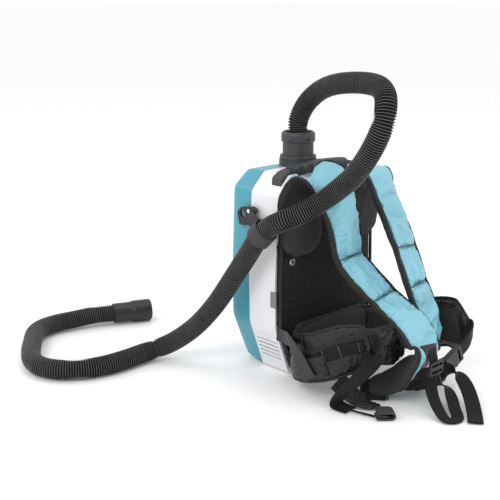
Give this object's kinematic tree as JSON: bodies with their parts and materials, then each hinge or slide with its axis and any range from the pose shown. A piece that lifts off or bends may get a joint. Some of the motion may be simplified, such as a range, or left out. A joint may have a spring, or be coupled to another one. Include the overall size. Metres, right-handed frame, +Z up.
{
  "type": "backpack vacuum cleaner",
  "caption": "Backpack vacuum cleaner with a drop-down rear cover, swivelling suction hose with cuff, carrying handle and padded shoulder and hip harness.",
  "frame": {"origin": "on the floor under the middle of the housing's width, below the seam side of its bottom web", "axes": "+Z up, +Y towards the rear cover, the harness on the -Y side, +X to the wearer's right"},
  "size_m": [0.5562, 0.8272, 0.525],
  "materials": {
    "white_shell": "satin moulded",
    "teal_shell": "satin moulded",
    "dark_plastic": "fine textured",
    "grey_plastic": "moulded",
    "black_plastic": "satin moulded",
    "hose_plastic": "satin ribbed",
    "steel": "zinc plated",
    "brass": "bright",
    "rubber": "matt",
    "bag_fleece": "non-woven",
    "card": "pressed card",
    "filter_media": "felt",
    "board_green": "lacquered",
    "red_plastic": "moulded",
    "blue_fabric": "woven nylon over padding",
    "black_mesh": "spacer mesh",
    "black_fabric": "woven nylon",
    "webbing": "flat woven webbing",
    "dark_webbing": "flat woven webbing"
  },
  "bodies": {
    "housing": {"main_housing": "white_shell", "motor_cover": "grey_plastic", "cover_hinge_pin": "steel", "cover_seal": "rubber", "inlet_neck": "dark_plastic", "neck_screws": "steel", "neck_seal": "rubber", "hose": "hose_plastic", "hose_cuff": "black_plastic", "hose_holder": "black_plastic", "holder_screw": "steel", "hose_strap": "dark_webbing", "carry_handle": "dark_plastic", "handle_screws": "steel", "dust_bag": "bag_fleece", "bag_collar": "card", "filter_frame": "dark_plastic", "filter_pad": "filter_media", "fan_housing": "dark_plastic", "motor_bearings": "steel", "motor_stator": "grey_plastic", "motor_mounts": "rubber", "exhaust_foam": "filter_media", "control_board": "board_green", "battery_terminals": "brass", "back_board": "black_fabric", "board_screws": "steel", "board_eyelet": "steel", "side_clips": "grey_plastic", "strap_left": "blue_fabric", "strap_lining_left": "black_mesh", "strap_right": "blue_fabric", "strap_lining_right": "black_mesh", "strap_tail_right": "black_fabric", "strap_joiner": "webbing", "lumbar_pad": "black_mesh", "hip_wing_left": "black_fabric", "hip_wing_right": "black_fabric", "hip_pocket": "black_fabric", "strap_webbing_left": "dark_webbing", "belt_webbing_left": "webbing", "belt_webbing_right": "webbing", "webbing_loop": "webbing", "webbing_tail": "webbing", "ladder_locks": "black_plastic", "buckle_socket": "black_plastic", "folded_webbing": "dark_webbing", "keeper_cord": "webbing", "floor_webbing": "webbing"},
    "cover": {"rear_cover": "teal_shell", "latch_pin": "steel"},
    "latch": {"cover_latch": "dark_plastic"},
    "collar": {"hose_collar": "dark_plastic"},
    "fan": {"fan_wheel": "grey_plastic", "motor_shaft": "steel"},
    "pack_left": {"battery_left": "black_plastic"},
    "pack_right": {"battery_right": "black_plastic"},
    "button_left": {"battery_button_left": "red_plastic"},
    "button_right": {"battery_button_right": "red_plastic"},
    "standby_button": {"power_button": "dark_plastic"}
  },
  "joints": [
    {"name": "cover_hinge", "type": "hinge", "parent": "housing", "child": "cover", "pos_m": [0, 0.0127, 0.0044], "axis": [-1, 0, 0], "range_deg": [0, 70]},
    {"name": "latch_hinge", "type": "hinge", "parent": "cover", "child": "latch", "pos_m": [0, 0.05, 0.343], "axis": [1, 0, 0], "range_deg": [0, 16], "stiffness_Nm_per_rad": 0.05, "springref_deg": -5.73},
    {"name": "hose_swivel", "type": "hinge", "parent": "housing", "child": "collar", "pos_m": [0, 0.009, 0.39], "axis": [0, 0, 1], "continuous": true},
    {"name": "fan_spin", "type": "hinge", "parent": "housing", "child": "fan", "pos_m": [0, 0.002, 0.15], "axis": [0, 0, 1], "continuous": true},
    {"name": "pack_slide_left", "type": "slide", "parent": "housing", "child": "pack_left", "axis": [0, 0, -1], "range_m": [0, 0.06]},
    {"name": "pack_slide_right", "type": "slide", "parent": "housing", "child": "pack_right", "axis": [0, 0, -1], "range_m": [0, 0.06]},
    {"name": "release_left", "type": "slide", "parent": "pack_left", "child": "button_left", "axis": [0, -1, 0], "range_m": [0, 0.004], "stiffness_N_per_m": 800, "springref_m": -0.001},
    {"name": "release_right", "type": "slide", "parent": "pack_right", "child": "button_right", "axis": [0, -1, 0], "range_m": [0, 0.004], "stiffness_N_per_m": 800, "springref_m": -0.001},
    {"name": "standby_press", "type": "slide", "parent": "housing", "child": "standby_button", "axis": [-1, 0, 0], "range_m": [0, 0.003], "stiffness_N_per_m": 1000, "springref_m": -0.001}
  ]
}
